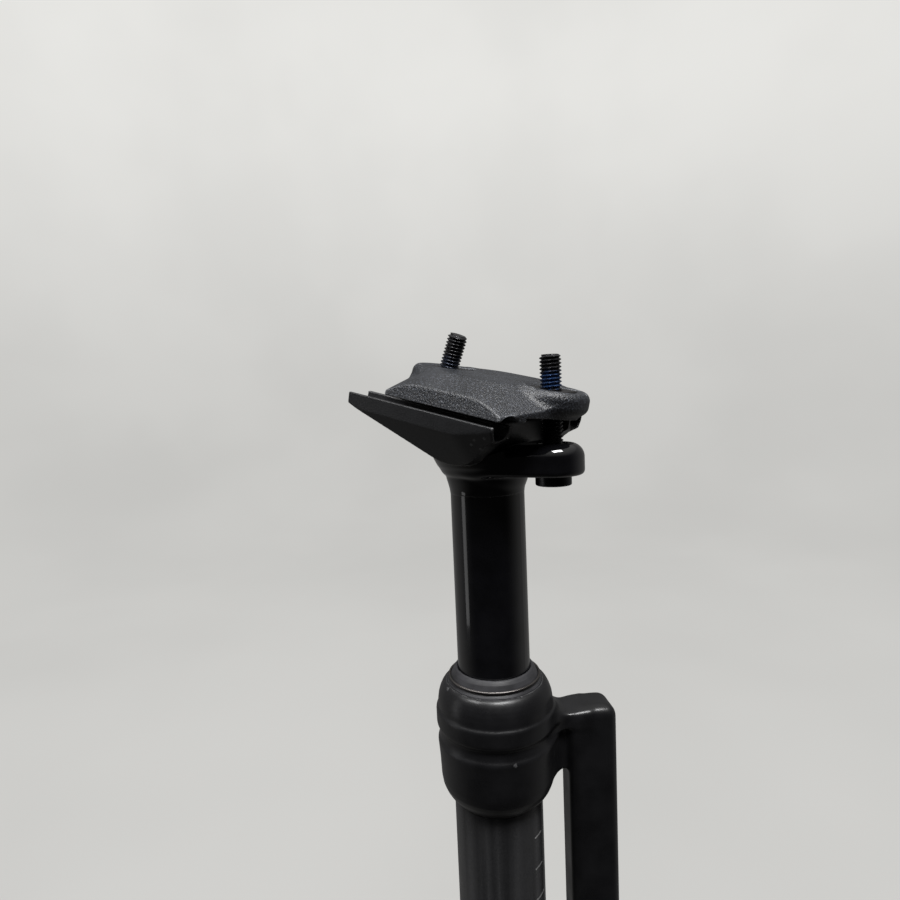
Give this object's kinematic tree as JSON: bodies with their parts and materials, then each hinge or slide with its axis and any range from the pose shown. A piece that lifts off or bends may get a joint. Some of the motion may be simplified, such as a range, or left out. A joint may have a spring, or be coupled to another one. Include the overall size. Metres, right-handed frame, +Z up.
{
  "type": "suspension seatpost",
  "caption": "Telescopic bicycle suspension seatpost with a two-bolt tilting saddle clamp, sealed collar and side oil reservoir.",
  "frame": {"origin": "centre of the post's bottom end, on the post axis", "axes": "+Z up the post axis, +X towards the front of the bicycle, +Y towards its left-hand side"},
  "size_m": [0.0617, 0.0543, 0.3719],
  "materials": {
    "anodised_black": "fine satin anodising",
    "satin_black": "satin black coating over a forging",
    "gloss_black": "deep gloss black",
    "cast_black": "matte black, fine sand-cast grain",
    "bolt_black": "black oxide, with dried blue thread lock",
    "black_steel": "black oxide",
    "rubber_black": "matte",
    "seal_grey": "matte dark grey",
    "bronze": "turned",
    "brass": "turned",
    "spring_steel": "bright drawn wire",
    "bare_aluminium": "turned",
    "polymer_green": "matte",
    "elastomer_red": "matte",
    "elastomer_amber": "satin",
    "plastic_black": "knurled"
  },
  "bodies": {
    "post": {"outer_tube": "anodised_black", "seal_collar": "satin_black", "tube_o_ring": "rubber_black", "upper_bushing": "bronze", "oil_seal": "seal_grey", "wiper_seal": "seal_grey", "wiper_ring": "spring_steel", "port_plug": "black_steel", "main_spring": "spring_steel", "reservoir_cap": "anodised_black", "cap_o_ring": "rubber_black", "gas_valve": "brass"},
    "slider": {"stanchion": "gloss_black", "post_head": "gloss_black", "slider_foot": "bare_aluminium", "guide_band": "polymer_green", "piston_ring": "rubber_black", "anti_rotation_keys": "brass", "top_out_bumper": "elastomer_red"},
    "preload_seat": {"spring_seat": "bare_aluminium", "bottom_out_bumper": "elastomer_amber"},
    "preload_screw": {"preload_plug": "anodised_black"},
    "oil_piston": {"floating_piston": "bare_aluminium", "floating_piston_ring": "rubber_black"},
    "valve_core": {"valve_pin": "brass"},
    "dust_cap": {"valve_cap": "plastic_black"},
    "rail_clamp": {"lower_cradle": "cast_black", "top_clamp": "cast_black"},
    "nut_front": {"half_nut_front": "black_steel"},
    "nut_rear": {"half_nut_rear": "black_steel"},
    "washer_front": {"seat_washer_front": "black_steel"},
    "washer_rear": {"seat_washer_rear": "black_steel"},
    "bolt_front": {"clamp_bolt_front": "bolt_black"},
    "bolt_rear": {"clamp_bolt_rear": "bolt_black"}
  },
  "joints": [
    {"name": "suspension_travel", "type": "slide", "parent": "post", "child": "slider", "axis": [0, 0, -1], "range_m": [0, 0.04], "stiffness_N_per_m": 15000, "springref_m": -0.012, "deforming": ["main_spring"]},
    {"name": "oil_piston_travel", "type": "slide", "parent": "post", "child": "oil_piston", "axis": [0, 0, 1], "range_m": [0, 0.0365]},
    {"name": "preload_lift", "type": "slide", "parent": "post", "child": "preload_seat", "axis": [0, 0, 1], "range_m": [0, 0.006], "deforming": ["main_spring"]},
    {"name": "preload_turn", "type": "hinge", "parent": "preload_seat", "child": "preload_screw", "pos_m": [0, 0, 0.007], "axis": [0, 0, 1], "range_deg": [0, 1446]},
    {"name": "gas_pin_press", "type": "slide", "parent": "post", "child": "valve_core", "axis": [0, 0, 1], "range_m": [0, 0.001], "stiffness_N_per_m": 400},
    {"name": "dust_cap_turn", "type": "hinge", "parent": "post", "child": "dust_cap", "pos_m": [0.02177, 0.01961, 0.175], "axis": [0, 0, -1], "continuous": true},
    {"name": "clamp_tilt", "type": "hinge", "parent": "slider", "child": "rail_clamp", "pos_m": [0.004, 0, 0.354], "axis": [0, 1, 0], "range_deg": [-8, 8]},
    {"name": "front_nut_pivot", "type": "hinge", "parent": "rail_clamp", "child": "nut_front", "pos_m": [0.02185, 0, 0.35369], "axis": [0, 1, 0], "range_deg": [-8.4, 8.4]},
    {"name": "rear_nut_pivot", "type": "hinge", "parent": "rail_clamp", "child": "nut_rear", "pos_m": [-0.01218, 0, 0.36127], "axis": [0, 1, 0], "range_deg": [-8.4, 8.4]},
    {"name": "front_bolt_reach", "type": "slide", "parent": "nut_front", "child": "washer_front", "axis": [0, 0, 1], "range_m": [-0.0026, 0.0026]},
    {"name": "rear_bolt_reach", "type": "slide", "parent": "nut_rear", "child": "washer_rear", "axis": [0.3891, 0, 0.9212], "range_m": [-0.0026, 0.0026]},
    {"name": "front_bolt_turn", "type": "hinge", "parent": "washer_front", "child": "bolt_front", "pos_m": [0.02185, 0, 0.3329], "axis": [0, 0, 1], "range_deg": [-360, 360]},
    {"name": "rear_bolt_turn", "type": "hinge", "parent": "washer_rear", "child": "bolt_rear", "pos_m": [-0.01984, 0, 0.34312], "axis": [0.3891, 0, 0.9212], "range_deg": [-360, 360]}
  ],
  "couplings": [
    {"joint": "oil_piston_travel", "follows": "suspension_travel", "ratio": 0.90079},
    {"joint": "preload_turn", "follows": "preload_lift", "rad_per_m": 4188.8},
    {"joint": "front_nut_pivot", "follows": "clamp_tilt", "ratio": -1.0148},
    {"joint": "rear_nut_pivot", "follows": "clamp_tilt", "ratio": -0.97969},
    {"joint": "front_bolt_reach", "follows": "clamp_tilt", "m_per_rad": 0.01785},
    {"joint": "rear_bolt_reach", "follows": "clamp_tilt", "m_per_rad": -0.01773}
  ]
}
